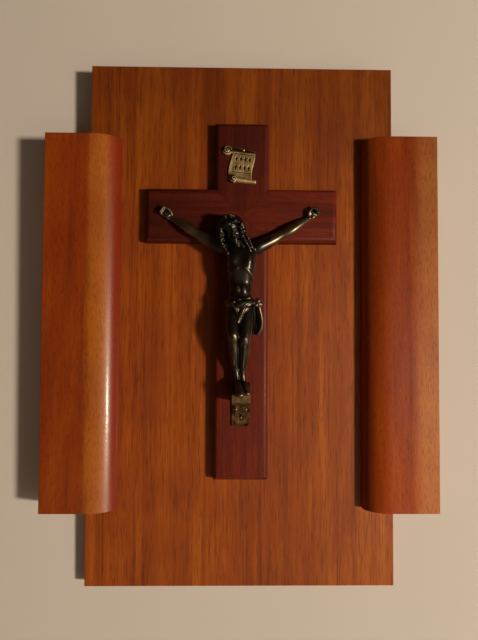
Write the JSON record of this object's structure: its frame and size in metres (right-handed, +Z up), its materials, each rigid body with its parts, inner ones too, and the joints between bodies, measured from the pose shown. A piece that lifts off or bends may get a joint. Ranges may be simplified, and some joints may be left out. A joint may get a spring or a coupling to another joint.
{
  "type": "wall crucifix",
  "caption": "Wall crucifix: cast figure on a halved wooden cross, on a varnished board with two side rails, with a brass scroll, a foot rest and a hinged hanging ring behind.",
  "frame": {"origin": "centre of the hanging ring's hole on the back, with the ring hanging down", "axes": "+Z up the cross, +X to the viewer's right seen from the front, -Y out of the front, +Y towards the wall"},
  "size_m": [0.2212, 0.0364, 0.3],
  "materials": {
    "board_wood": "open-grained board, stained gold brown and varnished",
    "rail_wood": "red brown stain under glossy varnish",
    "cross_wood": "dark red brown stain under satin varnish",
    "bronze": "cast, near-black patina rubbed warm on the high places",
    "old_brass": "aged, dull brown brass",
    "bright_brass": "stamped brass with dark patina in the recesses",
    "steel": "plain zinc-plated steel"
  },
  "bodies": {
    "plaque": {"back_board": "board_wood", "left_rail": "rail_wood", "right_rail": "rail_wood", "cross_upright": "cross_wood", "cross_left_arm": "cross_wood", "cross_right_arm": "cross_wood", "corpus": "bronze", "hand_nails": "old_brass", "foot_rest": "old_brass", "foot_rest_pins": "bright_brass", "foot_rest_nail": "old_brass", "titulus": "bright_brass", "titulus_pin": "bright_brass", "rail_screws": "steel", "cross_screws": "steel", "hanger_plate": "old_brass", "hanger_pin": "steel", "hanger_screws": "steel"},
    "ring": {"hanger_ring": "bright_brass"}
  },
  "joints": [
    {"name": "ring_swing", "type": "hinge", "parent": "plaque", "child": "ring", "pos_m": [0, 0, 0.0096], "axis": [1, 0, 0], "range_deg": [0, 180]}
  ]
}
